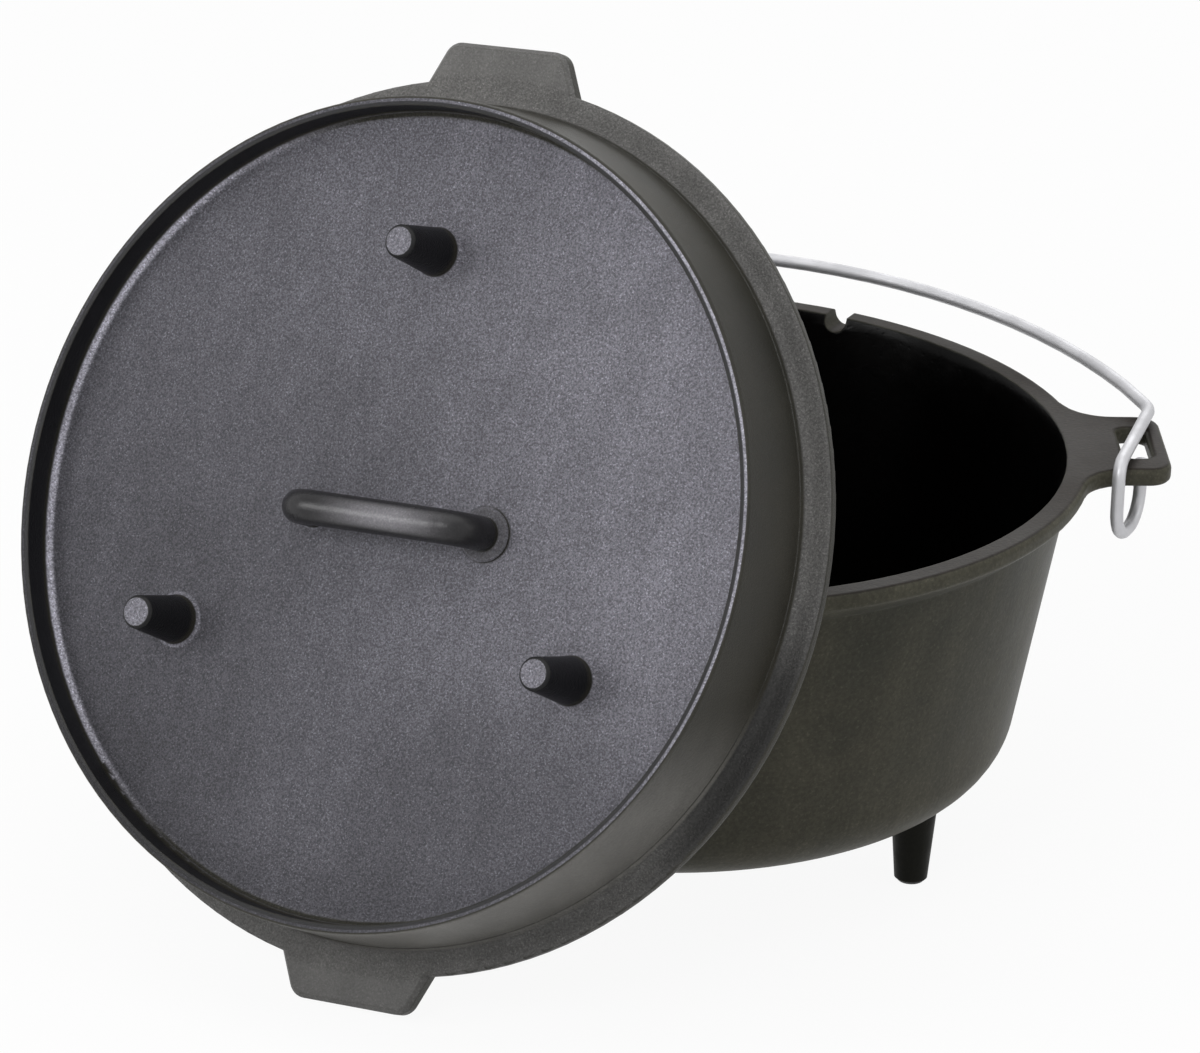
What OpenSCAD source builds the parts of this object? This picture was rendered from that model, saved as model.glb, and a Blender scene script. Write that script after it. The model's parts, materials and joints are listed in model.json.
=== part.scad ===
// Camp dutch oven: a legged cast-iron pot with a slotted ear on each side, a flanged coal lid
// that leans on the rim with one tab on the ground, and a wire bail laid back over the mouth.
// Millimetres. The origin is on the ground under the pot's axis, +Z is up and +X runs through an ear.

/* [Pot] */
// Inside diameter of the mouth at the rim
mouth_d = 304.8; // [280:0.1:330]
// Height of the rim above the ground
pot_h = 156.6; // [140:0.1:180]
// Height of the pot's underside above the ground
belly_h = 30.4; // [24:0.1:40]
// Width of the rim's top face
rim_w = 9; // [8:0.1:12]
// Height of the bead round the rim
rim_h = 7; // [6:0.1:9]
// How far the bead stands out of the wall
rim_out = 5.9; // [4:0.1:6.5]
// Rounding of the bead's edges
rim_round = 2.5; // [1:0.1:2.9]
// Height of the slope under the bead
rim_slope_h = 5; // [3:0.1:10]
// Thickness of the side wall
wall_t = 4.2; // [3.5:0.1:6]
// Thickness of the bottom
floor_t = 5.5; // [5:0.1:9]
// Lean of the side wall, in degrees
wall_lean = 9.9; // [6:0.1:13]
// Outside radius between the wall and the bottom
corner_r = 27.8; // [18:0.1:34]
// Height of the bevel inside the mouth
mouth_bevel_h = 4; // [2:0.1:6]

/* [Pot legs] */
// Radius of the circle that the legs stand on
leg_ring_r = 111; // [95:0.1:115]
// Direction of the first leg, in degrees from the right ear
leg_turn = -30; // [-60:1:60]
// Diameter of a foot
foot_d = 12.6; // [10:0.1:16]
// Diameter of a leg under the pot
leg_d = 17.5; // [14:0.1:22]

/* [Ears] */
// How far an ear stands out of the rim
ear_reach = 29.1; // [26:0.1:36]
// Width of an ear
ear_w = 56; // [48:0.1:66]
// Thickness of an ear
ear_t = 7; // [6:0.1:9]
// Corner radius of an ear
ear_corner_r = 9; // [5:0.1:12]
// Radius of the hollow where an ear's side meets the rim
ear_flare_r = 18; // [8:0.1:22]
// Length of the slot in an ear, along the rim
slot_l = 30; // [26:0.1:34]
// Width of the slot
slot_w = 10.7; // [9.5:0.1:12]
// Corner radius of the slot
slot_corner_r = 4; // [2:0.1:4.6]
// Width of the bar outside the slot
outer_bar = 6.5; // [5:0.1:9]

/* [Thermometer notch] */
// Direction of the notch, in degrees from the right ear
notch_turn = 60; // [40:1:80]
// Width of the notch
notch_w = 9; // [6:0.1:12]
// Depth of the notch below the rim's top
notch_d = 6; // [4.8:0.1:6.8]

/* [Lid] */
// How far the lid's flange passes the pot's rim
flange_over = 2; // [0:0.1:5]
// Thickness of the flange
flange_t = 5.6; // [4.5:0.1:8]
// Rounding of the flange's edge
flange_round = 1.8; // [1:0.1:2.2]
// How far the lid's wall passes the pot's mouth at the flange
lid_wall_over = 1.3; // [0:0.1:3]
// How far the lid's wall leans in from the flange to the lip
lid_wall_in = 2.7; // [1:0.1:3.5]
// Radius between the lid's wall and the flange
flange_fillet = 4; // [2:0.1:5]
// Height of the lip above the seat
lip_h = 43.2; // [38:0.1:50]
// Width of the lip's top
lip_w = 3.6; // [3:0.1:6]
// Rounding of the lip's edges
lip_round = 1.2; // [0.5:0.1:1.4]
// Depth of the coal tray inside the lip
tray_d = 13.5; // [10:0.1:16]
// Radius between the lip and the tray
tray_r = 4; // [2:0.1:6]
// Thickness of the lid's plate
plate_t = 6.5; // [6:0.1:9]
// Thickness of the lid's wall at the seat
lid_wall_t = 5; // [4:0.1:7]
// Radius inside the lid, between wall and plate
lid_inner_r = 8; // [4:0.1:12]
// Height of the ring that drops into the mouth
skirt_h = 4.5; // [3:0.1:6]
// Play between that ring and the pot's wall
lid_play = 0.8; // [0.5:0.1:2]

/* [Lid tabs] */
// How far a tab stands out of the flange
tab_out = 12.6; // [10:0.1:18]
// Width of a tab at its end, before the corners are rounded
tab_end_w = 48; // [40:0.1:56]
// Width of a tab at the root
tab_root_w = 72; // [60:0.1:84]
// Depth of a tab's root inside the flange's edge
tab_sunk = 13.4; // [12:0.1:14]
// Corner radius of a tab
tab_corner_r = 7; // [3:0.1:9]
// Bevel round a tab's upper edge
tab_bevel = 1.6; // [0.5:0.1:2]

/* [Lid legs] */
// Radius of the circle of lid legs
lid_leg_ring_r = 96.5; // [80:0.1:110]
// Length of a lid leg above the plate
lid_leg_l = 27.8; // [26:0.1:36]
// Diameter of a lid leg at its tip
lid_tip_d = 12.3; // [10:0.1:15]
// Diameter of a lid leg at the plate
lid_leg_d = 17.6; // [15:0.1:22]

/* [Lid handle] */
// Distance between the handle's feet
handle_span = 72; // [60:0.1:90]
// Height of the handle above the plate
handle_h = 25; // [24:0.1:34]
// Diameter of the handle's bar
handle_d = 12.6; // [9:0.1:13]
// Bend radius of the handle along its middle
handle_bend_r = 10.5; // [8:0.1:12]
// Place of the handle along its bar, from the middle of the plate
handle_along = -3; // [-6:0.1:6]
// Place of the handle across its bar, from the middle of the plate
handle_across = -1.5; // [-6:0.1:6]
// Diameter of the low boss under one foot of the handle
boss_d = 20; // [16:0.1:24]
// Height of the boss
boss_h = 2; // [1:0.1:4]

/* [Lid at rest] */
// Direction that the lid faces, in degrees from the right ear
lid_turn_out = -125.6; // [-140:0.1:-110]
// Lean of the lid's axis above the ground, in degrees
lid_lean = 25; // [20:0.1:28]
// Turn of the lid about its own axis, in degrees
lid_spin = 6.2; // [-10:0.1:10]
// Sideways place of the lid along the rim
lid_aside = -13.4; // [-16:0.1:5]
// Gap between the lid and the rim, and under the tab
lid_gap = 0.3; // [0.2:0.1:1]

/* [Bail] */
// Diameter of the bail's wire
wire_d = 5; // [4:0.1:5.2]
// How much the bow's radius passes the shoulder's distance from the middle
bow_over = 10.8; // [8:0.1:16]
// Tilt of the bow when it lies back, in degrees
bow_tilt = 5.7; // [4.5:0.1:12]
// Distance of the wire's shoulder inside the ear's end
shoulder_in = 3.3; // [2:0.1:8]
// Distance of the shoulder behind the ear's middle
shoulder_back = 24; // [18:0.1:30]
// Distance of the hinge axis behind the ear's front edge
hinge_in = 3.5; // [3:0.1:4.5]
// Height of the wire's middle above the hinge axis
wire_up = 11.2; // [11:0.1:14]
// Distance of the hook's front leg before the hinge axis
hook_front = 9; // [8.5:0.1:11]
// Distance of the hook's tip leg behind the hinge axis
hook_back = 14.7; // [14.5:0.1:17]
// Depth of the hook below the hinge axis
hook_drop = 19.6; // [18:0.1:24]
// Height of the hook's tip above the hinge axis
tip_up = 4; // [1:0.1:6]
// Distance of the front leg inside the slot's inner side
leg_in = 4.3; // [3:0.1:5]
// Distance of the tip inside the slot's outer side
tip_in = 3.5; // [3.3:0.1:4]
// Bend radius at the shoulder
shoulder_r = 12; // [8:0.1:16]
// Bend radius over the ear's edge
edge_r = 6; // [5:0.1:7]

/* [Hidden] */
$fn = 96;
// Overlap that joins two shapes of one casting
bite = 2;
iron = [0.20, 0.20, 0.20];
lid_iron = [0.31, 0.30, 0.32];
zinc = [0.76, 0.77, 0.78];

// Pot, worked out
mouth_r = mouth_d / 2;
rim_r = mouth_r + rim_w;
wall_top_r = rim_r - rim_out;
wall_flat_t = wall_t / cos(wall_lean);
inner_corner_r = corner_r - wall_t;
floor_z = belly_h + floor_t;
function wall_r(z) = wall_top_r - (pot_h - z) * tan(wall_lean);
function inner_r(z) = wall_r(z) - wall_flat_t;

// Ears, worked out
ear_z = pot_h - ear_t;
ear_tip = rim_r + ear_reach;
slot_out = ear_tip - outer_bar;
slot_in = slot_out - slot_w;
slot_mid = (slot_in + slot_out) / 2;
flare_y = ear_w / 2 + ear_flare_r;
flare_x = sqrt(pow(rim_r + ear_flare_r, 2) - pow(flare_y, 2));

// Lid, worked out
flange_r = rim_r + flange_over;
lid_wall_r = mouth_r + lid_wall_over;
lip_r = lid_wall_r - lid_wall_in;
plate_h = lip_h - tray_d;
under_h = plate_h - plate_t;
skirt_r = inner_r(pot_h - skirt_h) - lid_play;
hollow_r = skirt_r - lid_wall_t;
tab_reach = flange_r + tab_out;
tab_root = flange_r - tab_sunk;
tab_slope = (tab_root_w - tab_end_w) / 2 / (tab_reach - tab_root);
tab_norm = sqrt(1 + tab_slope * tab_slope);
tab_corner_a = tab_reach - tab_corner_r;
tab_corner_b = tab_end_w / 2 + tab_corner_r * (tab_slope - tab_norm);

// Place of the leaning lid: its lower tab on the ground, its hollow side on the rim
tab_low = tab_corner_a * cos(lid_spin) + tab_corner_b * abs(sin(lid_spin)) + tab_corner_r;
lid_z = tab_low * cos(lid_lean) + lid_gap;
rim_support = (rim_r - rim_round) * cos(lid_lean) + (pot_h - rim_round) * sin(lid_lean) + rim_round;
lid_out = (rim_support - under_h + lid_gap - lid_z * sin(lid_lean)) / cos(lid_lean);

// Bail, worked out
hinge_y = hinge_in - ear_w / 2;
hinge_z = ear_z;
wire_z = hinge_z + wire_up;
hook_r = (hook_front + hook_back) / 2;
shoulder_x = ear_tip - shoulder_in;
bow_r = shoulder_x + bow_over;
shoulder_turn = acos(shoulder_x / bow_r);
bow_steps = 34;
bend_steps = 7;
wire_sides = 12;

// A block in the plane with rounded corners, centred
module rounded_block(size_x, size_y, corner) {
    square([size_x - 2 * corner, size_y], center = true);
    square([size_x, size_y - 2 * corner], center = true);
    for (sx = [-1, 1], sy = [-1, 1])
        translate([sx * (size_x / 2 - corner), sy * (size_y / 2 - corner)]) circle(corner);
}

// A filled half profile with a straight leaning wall and a rounded bottom corner
module bowl_profile(bottom_z, top_z, top_r, corner, lean) {
    mid_z = bottom_z + corner;
    mid_r = top_r - (top_z - mid_z) * tan(lean) - corner / cos(lean);
    translate([mid_r, mid_z]) circle(corner);
    polygon([
        [0, bottom_z], [mid_r, bottom_z],
        [mid_r + corner * cos(lean), mid_z - corner * sin(lean)],
        [top_r, top_z], [0, top_z]
    ]);
}

// A tapered round leg with a hollow fillet at its root and a bevelled tip
module taper_leg(root_r, tip_r, length, root_fillet, tip_bevel, sunk) {
    rotate_extrude()
        difference() {
            polygon([
                [0, -sunk], [root_r + root_fillet, -sunk], [root_r + root_fillet, 0],
                [root_r, root_fillet], [tip_r, length - tip_bevel],
                [tip_r - tip_bevel, length], [0, length]
            ]);
            translate([root_r + root_fillet, root_fillet]) circle(root_fillet);
        }
}

// The corner cut away to bevel an edge, with the edge at the origin and the metal towards +X
module edge_profile(bevel) {
    polygon([[-1, -bevel - 1], [bevel + 1, 1], [-1, 1]]);
}

// Cutter along a straight edge that runs from the origin along +X, with the metal towards +Y
module straight_edge(length, bevel) {
    rotate([90, 0, 90]) linear_extrude(height = length) edge_profile(bevel);
}

// Cutter along a round corner, with the metal inside it
module round_edge(corner, bevel, sweep) {
    rotate_extrude(angle = sweep) translate([corner, 0]) mirror([1, 0, 0]) edge_profile(bevel);
}

// The rim's bead, from the wall outwards
module bead_profile() {
    low = pot_h - rim_h;
    slope_z = low - rim_slope_h;
    square_in = wall_r(low) - bite;
    translate([square_in, low]) square([rim_r - rim_round - square_in, rim_h]);
    translate([square_in, low + rim_round]) square([rim_r - square_in, rim_h - 2 * rim_round]);
    for (z = [low + rim_round, pot_h - rim_round])
        translate([rim_r - rim_round, z]) circle(rim_round);
    polygon([
        [wall_r(slope_z) - bite, slope_z], [wall_r(slope_z), slope_z],
        [rim_r - rim_round, low], [square_in, low]
    ]);
}

// Outline of the right ear, with its hollow flares into the rim
module ear_outline() {
    root = rim_r - rim_w / 2;
    shoulder = ear_tip - ear_corner_r;
    translate([root, -ear_w / 2]) square([shoulder - root, ear_w]);
    translate([root, -ear_w / 2 + ear_corner_r]) square([ear_tip - root, ear_w - 2 * ear_corner_r]);
    for (side = [-1, 1]) {
        translate([shoulder, side * (ear_w / 2 - ear_corner_r)]) circle(ear_corner_r);
        touch = rim_r / (rim_r + ear_flare_r);
        root_share = root / (rim_r + ear_flare_r);
        difference() {
            polygon([
                [root, 0], [flare_x, 0], [flare_x, side * flare_y],
                [flare_x * touch, side * flare_y * touch],
                [flare_x * root_share, side * flare_y * root_share]
            ]);
            translate([flare_x, side * flare_y]) circle(ear_flare_r);
        }
    }
}

// The right ear: a plate with a slot that the bail hooks through
module ear() {
    difference() {
        translate([0, 0, ear_z]) linear_extrude(height = ear_t) ear_outline();
        translate([slot_mid, 0, ear_z - 1])
            linear_extrude(height = ear_t + 2) rounded_block(slot_w, slot_l, slot_corner_r);
    }
}

module pot_inside() {
    rotate_extrude() {
        bowl_profile(floor_z, pot_h + 1, inner_r(pot_h + 1), inner_corner_r, wall_lean);
        polygon([
            [0, pot_h - mouth_bevel_h], [inner_r(pot_h - mouth_bevel_h), pot_h - mouth_bevel_h],
            [mouth_r, pot_h], [mouth_r, pot_h + 1], [0, pot_h + 1]
        ]);
    }
}

// A round-bottomed channel through the rim
module notch() {
    rotate([0, 0, notch_turn]) translate([mouth_r - rim_w, 0, pot_h - notch_d + notch_w / 2]) {
        rotate([0, 90, 0]) cylinder(d = notch_w, h = 3 * rim_w);
        translate([0, -notch_w / 2, 0]) cube([3 * rim_w, notch_w, notch_d]);
    }
}

// One leg, tapered up into the pot's bottom, with a bevelled foot
module pot_leg() {
    foot_bevel = 1.5;
    top = belly_h + floor_t - 1;
    spread = (leg_d - foot_d) / (belly_h - foot_bevel);
    cylinder(d1 = foot_d - 2 * foot_bevel, d2 = foot_d, h = foot_bevel);
    translate([0, 0, foot_bevel])
        cylinder(d1 = foot_d, d2 = foot_d + spread * (top - foot_bevel), h = top - foot_bevel);
}

module pot() {
    color(iron) difference() {
        union() {
            difference() {
                union() {
                    rotate_extrude() {
                        bowl_profile(belly_h, pot_h, wall_top_r, corner_r, wall_lean);
                        bead_profile();
                    }
                    ear();
                    mirror([1, 0, 0]) ear();
                }
                pot_inside();
            }
            for (turn = [0, 120, 240]) rotate([0, 0, leg_turn + turn]) translate([leg_ring_r, 0, 0]) pot_leg();
        }
        notch();
    }
}

// Half profile of the lid's casting, with the seat on the rim at height 0
module lid_profile() {
    tray_wall_r = lip_r - lip_w;
    difference() {
        union() {
            square([flange_r - flange_round, flange_t]);
            translate([0, flange_round]) square([flange_r, flange_t - 2 * flange_round]);
            for (h = [flange_round, flange_t - flange_round])
                translate([flange_r - flange_round, h]) circle(flange_round);
            polygon([
                [0, flange_t - 1], [lid_wall_r, flange_t - 1], [lid_wall_r, flange_t],
                [lip_r, lip_h - lip_round], [lip_r - lip_round, lip_h], [0, lip_h]
            ]);
            translate([lip_r - lip_round, lip_h - lip_round]) circle(lip_round);
            difference() {
                translate([lid_wall_r - 1, flange_t - 1])
                    square([flange_fillet + 1, flange_fillet + 1]);
                translate([lid_wall_r + flange_fillet, flange_t + flange_fillet]) circle(flange_fillet);
            }
            translate([0, -skirt_h]) square([skirt_r, skirt_h + 1]);
        }
        translate([0, plate_h + tray_r]) square([tray_wall_r, tray_d]);
        translate([0, plate_h]) square([tray_wall_r - tray_r, tray_d]);
        translate([tray_wall_r - tray_r, plate_h + tray_r]) circle(tray_r);
        translate([0, -skirt_h - 1]) square([hollow_r, under_h + skirt_h + 1 - lid_inner_r]);
        translate([0, -skirt_h - 1]) square([hollow_r - lid_inner_r, under_h + skirt_h + 1]);
        translate([hollow_r - lid_inner_r, under_h - lid_inner_r]) circle(lid_inner_r);
    }
}

// One lifting tab along +X, bevelled round its upper edge
module lid_tab() {
    side_turn = atan(tab_slope);
    side_a = tab_corner_a + tab_corner_r * tab_slope / tab_norm;
    side_b = tab_corner_b + tab_corner_r / tab_norm;
    side_l = (side_a - tab_root) * tab_norm;
    difference() {
        linear_extrude(height = flange_t) {
            polygon([
                [tab_root, -tab_root_w / 2], [side_a, -side_b], [tab_reach, -tab_corner_b],
                [tab_reach, tab_corner_b], [side_a, side_b], [tab_root, tab_root_w / 2]
            ]);
            for (side = [-1, 1]) translate([tab_corner_a, side * tab_corner_b]) circle(tab_corner_r);
        }
        for (side = [0, 1]) mirror([0, side, 0]) translate([0, 0, flange_t]) {
            translate([tab_reach, 0]) rotate([0, 0, 90]) straight_edge(tab_corner_b, tab_bevel);
            translate([tab_corner_a, tab_corner_b])
                round_edge(tab_corner_r, tab_bevel, 90 - side_turn);
            translate([side_a, side_b]) rotate([0, 0, 180 - side_turn]) straight_edge(side_l, tab_bevel);
        }
    }
}

// Loop handle along Y: two feet, two bends and a bar, with a low boss under one foot
module lid_handle() {
    bar_h = handle_h - handle_d / 2;
    half = handle_span / 2;
    foot_fillet = 1.4;
    boss_bevel = boss_h / 2;
    translate([0, half - handle_bend_r, bar_h]) rotate([90, 0, 0])
        cylinder(d = handle_d, h = handle_span - 2 * handle_bend_r);
    for (side = [0, 1]) mirror([0, side, 0]) {
        translate([0, half - handle_bend_r, bar_h - handle_bend_r]) rotate([90, 0, 90])
            rotate_extrude(angle = 90) translate([handle_bend_r, 0]) circle(d = handle_d);
        translate([0, half, -bite]) cylinder(d = handle_d, h = bar_h - handle_bend_r + bite);
        translate([0, half, 0]) rotate_extrude() difference() {
            translate([0, -bite]) square([handle_d / 2 + foot_fillet, foot_fillet + bite]);
            translate([handle_d / 2 + foot_fillet, foot_fillet]) circle(foot_fillet);
        }
    }
    translate([0, -half, 0]) rotate_extrude() polygon([
        [0, -bite], [boss_d / 2, -bite], [boss_d / 2, boss_h - boss_bevel],
        [boss_d / 2 - boss_bevel, boss_h], [0, boss_h]
    ]);
}

module lid() {
    leg_fillet = 2.5;
    tip_bevel = 1;
    color(lid_iron)
        rotate([0, 0, lid_turn_out]) translate([lid_out, lid_aside, lid_z])
            rotate([0, 90 - lid_lean, 0]) rotate([0, 0, 180 + lid_spin]) {
                rotate_extrude() lid_profile();
                lid_tab();
                rotate([0, 0, 180]) lid_tab();
                translate([0, 0, plate_h]) {
                    for (turn = [0, 120, 240])
                        rotate([0, 0, turn]) translate([lid_leg_ring_r, 0, 0])
                            taper_leg(lid_leg_d / 2, lid_tip_d / 2, lid_leg_l, leg_fillet, tip_bevel, bite);
                    translate([handle_across, handle_along, 0]) lid_handle();
                }
            }
}

function unit(v) = v / norm(v);
function flip(p) = [-p[0], p[1], p[2]];
function reversed(list) = [for (i = [len(list) - 1:-1:0]) list[i]];

// Points on the bend that rounds one corner of the wire's route
function bend(before, corner, after, radius) =
    let (
        d1 = unit(corner - before),
        d2 = unit(after - corner),
        turn = acos(d1 * d2),
        start = corner - d1 * radius * tan(turn / 2),
        side = unit(d2 - (d2 * d1) * d1)
    )
    [for (i = [0:bend_steps])
        let (t = turn * i / bend_steps)
        start + radius * (sin(t) * d1 + (1 - cos(t)) * side)];

// A point on the bow, from its turn about the bow's centre
function bow_point(turn) =
    let (back = bow_r * (sin(turn) - sin(shoulder_turn)))
    [bow_r * cos(turn), shoulder_back + back * cos(bow_tilt), wire_z + back * sin(bow_tilt)];

// The wire's right half, from the bow's end over the ear and through the slot to its tip
function hook_route() =
    let (
        front = hinge_y - hook_front,
        rear = hinge_y + hook_back,
        low = hinge_z - hook_drop,
        leg_x = slot_in - leg_in,
        tip_x = slot_out - tip_in,
        shoulder = bow_point(shoulder_turn),
        edge = [leg_x, front, wire_z],
        front_low = [leg_x, front, low],
        rear_low = [tip_x, rear, low],
        tip = [tip_x, rear, hinge_z + tip_up]
    )
    concat(
        bend(bow_point(shoulder_turn + 6), shoulder, edge, shoulder_r),
        bend(shoulder, edge, front_low, edge_r),
        bend(edge, front_low, rear_low, hook_r),
        bend(front_low, rear_low, tip, hook_r),
        [tip]
    );

function bow_route() =
    let (first = shoulder_turn + 6, step = (180 - 2 * first) / bow_steps)
    [for (i = [0:bow_steps]) bow_point(first + step * i)];

// A round tube along a route, with its rings carried on without twist
module tube(route, radius, sides) {
    last = len(route) - 1;
    way = [for (i = [0:last]) unit(route[min(i + 1, last)] - route[max(i - 1, 0)])];
    first_side = unit(cross(way[0], [0, 1, 0]));
    across = [for (i = 0, v = first_side; i <= last;
        i = i + 1, v = i > last ? v : unit(v - (v * way[i]) * way[i])) v];
    rings = [for (i = [0:last], k = [0:sides - 1])
        let (other = cross(way[i], across[i]), t = 360 * k / sides)
        route[i] + radius * (cos(t) * across[i] + sin(t) * other)];
    skin = [for (i = [0:last - 1], k = [0:sides - 1])
        let (a = i * sides + k, b = i * sides + (k + 1) % sides)
        each [[a, a + sides, b], [b, a + sides, b + sides]]];
    caps = [for (k = [1:sides - 2])
        each [[0, k, k + 1], [last * sides, last * sides + k + 1, last * sides + k]]];
    polyhedron(points = rings, faces = concat(skin, caps));
}

module bail() {
    right = hook_route();
    left = [for (p = right) flip(p)];
    color(zinc) tube(concat(reversed(right), bow_route(), left), wire_d / 2, wire_sides);
}

pot();
lid();
bail();
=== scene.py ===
import json
import math

import bmesh
import bpy
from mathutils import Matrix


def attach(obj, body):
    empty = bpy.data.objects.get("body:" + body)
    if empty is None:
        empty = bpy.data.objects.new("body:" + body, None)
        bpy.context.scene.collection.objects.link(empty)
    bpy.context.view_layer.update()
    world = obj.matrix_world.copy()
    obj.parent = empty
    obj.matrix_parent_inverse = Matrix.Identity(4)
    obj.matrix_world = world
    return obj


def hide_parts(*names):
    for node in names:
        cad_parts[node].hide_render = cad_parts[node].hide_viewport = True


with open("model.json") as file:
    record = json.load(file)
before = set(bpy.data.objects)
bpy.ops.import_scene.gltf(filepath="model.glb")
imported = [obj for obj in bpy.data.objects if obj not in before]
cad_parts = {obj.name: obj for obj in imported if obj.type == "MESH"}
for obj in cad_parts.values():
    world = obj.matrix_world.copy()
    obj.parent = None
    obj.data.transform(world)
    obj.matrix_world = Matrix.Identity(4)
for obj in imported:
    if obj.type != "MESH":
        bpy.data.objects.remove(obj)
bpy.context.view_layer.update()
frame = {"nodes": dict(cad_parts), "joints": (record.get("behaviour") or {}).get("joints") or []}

bl_info = {
    "name": "Camp oven",
    "version": (1, 0, 0),
    "blender": (4, 5, 0),
    "location": "View3D > Sidebar > Camp oven",
    "description": "Dresses a cast-iron camp oven, its coal lid and its wire bail, and sets its stage",
    "category": "Object",
}

# Angles past which an edge of a casting or of the wire is shaded as sharp, in degrees
CAST_ANGLE = 35.0
WIRE_ANGLE = 40.0

# Rounding of the ears: angle past which an edge is rounded and angle of a flat join, in degrees,
# height within which an edge is level, facing past which a face is level, and faces across a rounding
EAR_EDGE_ANGLE = 70.0
FLAT_ANGLE = 0.5
LEVEL_DISTANCE = 1e-6
LEVEL_FACING = 0.999
ROUND_STEPS = 3

# Distance within which points are merged, in metres like every length below
WELD_DISTANCE = 1e-6

# Heights above the ground and distances from the pot's axis
FLOOR_OUTSIDE = 0.0304
EAR_UNDERSIDE = 0.149
EAR_TOP_START = 0.158
MOUTH_RADIUS = 0.1524

# Spans over which the pot's zones fade: facings, heights and distances from the axis
FACES_AXIS = (-0.10, -0.50)
FACES_OUT = (0.2, 0.6)
FACES_UP = (0.2, 0.5)
LEVEL_TOP = (0.75, 0.97)
SANDY_TOP = (0.6, 0.95)
INSIDE_FLOOR = (0.075, 0.06)
INSIDE_START = (FLOOR_OUTSIDE + 0.002, FLOOR_OUTSIDE + 0.004)
MOUTH_EDGE = (MOUTH_RADIUS + 0.001, MOUTH_RADIUS - 0.0005)
BEAD_HEIGHT = (0.1465, 0.1495)
UNDERSIDE = (FLOOR_OUTSIDE + 0.003, FLOOR_OUTSIDE - 0.001)

# Share of the sand grain on level tops, and the least distance from the axis that a facing is worked out for
TOP_SAND = 0.3
NEAR_AXIS = 0.001

# Middle of the lid's seat, and spans over which the lid's zones fade: heights above the seat and the plate
LID_CENTRE = tuple(next(joint["pos_m"] for joint in frame["joints"] if joint["name"] == "lid_lift"))
WALL_FOOT = (0.012, 0.016)
PLATE_CLEAR = (0.0025, 0.005)
LEG_TIP = (0.0262, 0.0275)

# Distances from the lid's axis, and from the boss's axis
HANDLE_REACH = (0.062, 0.056)
LEG_RING_IN = (0.066, 0.07)
LEG_RING_OUT = (0.13, 0.14)
FILLET_START = (0.138, 0.141)
CREST_START = (0.1455, 0.1465)
LIP_START = (0.1478, 0.1488)
LIP_INNER_END = (0.1485, 0.1495)
RIDGE_START = (0.1486, 0.1492)
WALL_START = (0.1502, 0.1508)
WALL_END = (0.157, 0.154)
TAB_START = (0.1635, 0.166)
BOSS_EDGE = (0.0110, 0.0098)

# How squarely a face of the lid looks along the lid's axis
FLAT_FACING = (0.80, 0.985)
CURVED_FACING = (0.30, 0.60)
RIDGE_FACING = (0.965, 0.997)
HIGHLIGHT_FACING = (0.55, 0.97)

# Places on the lid from its middle, to its right and upwards, and the shares of a colour that they get
# Middle and fade of the painted highlight along the handle's bar
GRIP_MIDDLE = 0.010
GRIP_FADE = (0.030, 0.004)
# Painted light on the plate, brighter to the right and upwards
LIGHT_RIGHT = (-0.09, 0.15, 0.72, 1.56)
LIGHT_UP = (-0.13, 0.15, 0.74, 1.24)
FLANGE_UP = (-0.13, 0.15, 0.84, 1.20)
# Painted highlight on the lip's right and upper side, painted shade on its left and lower side
HIGHLIGHT_RIGHT = (-0.10, 0.10, 0.6, 1.6)
HIGHLIGHT_UP = (-0.11, 0.03, 0.6, 1.0)
# Painted shade on the plate's low right
SHADE_RIGHT = (-0.03, 0.05)
SHADE_DOWN = (-0.01, -0.07)
SHADE_SHARE = 0.76
# Flange darker at its low right
DARK_RIGHT = (0.115, 0.148)
DARK_DOWN = (0.02, -0.03)
DARK_SHARE = 0.25
# Painted light from the floor on the wall's low right
BOUNCE_RIGHT = (-0.02, 0.05)
BOUNCE_DOWN = (-0.015, -0.06)
# Painted highlight on the tray's edge rounding, towards the left
HIGHLIGHT_LEFT = (-0.05, -0.125)

# Shares of the handle's and the plate's colour, and of the sand grain
# Painted shade on the handle's ends and sides, painted highlight along the middle of its top
GRIP_SHADE = 0.28
GRIP_HIGHLIGHT = 2.1
# Painted highlight on the fillets round the plate and on the tray's edge rounding at the left
TRAY_EDGE_HIGHLIGHT = 4.0
FILLET_HIGHLIGHT = 1.5
TIP_BRIGHT = 1.6
BOSS_SAND = 0.6
FLANGE_SAND = 0.55
TAB_SAND = 0.4

# Places of the Mix node's two colours and of its mixed colour
MIX_COLOURS = (6, 7)
MIX_RESULT = 2

# Cast iron: scales of its noises per metre
WAVE_SCALE = 120.0
PATCH_SCALE = 11.0
PIT_SCALE = 260.0
WIPE_SCALE = (90.0, 90.0, 10.0)
PAINTED_GLINT_FINER = 1.3

# Cast iron: noise values between which an effect grows, and the levels that it grows between
NOISE_SPAN = (0.3, 0.7)
TINT_SPAN = (0.38, 0.66)
PIT_SPAN = (0.05, 0.22)
EDGE_SPAN = (0.995, 0.86)
CLOUD = (*NOISE_SPAN, 0.86, 1.14)
WIPE = (*NOISE_SPAN, 0.92, 1.08)
SPECKLE = (0.36, 0.64, 0.60, 1.36)
# Painted glints: pale specks on a few grains
PAINTED_GLINT = (0.58, 0.70, 1.0, 1.8)
WEAR = (0.35, 0.7, 0.2, 0.65)

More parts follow.
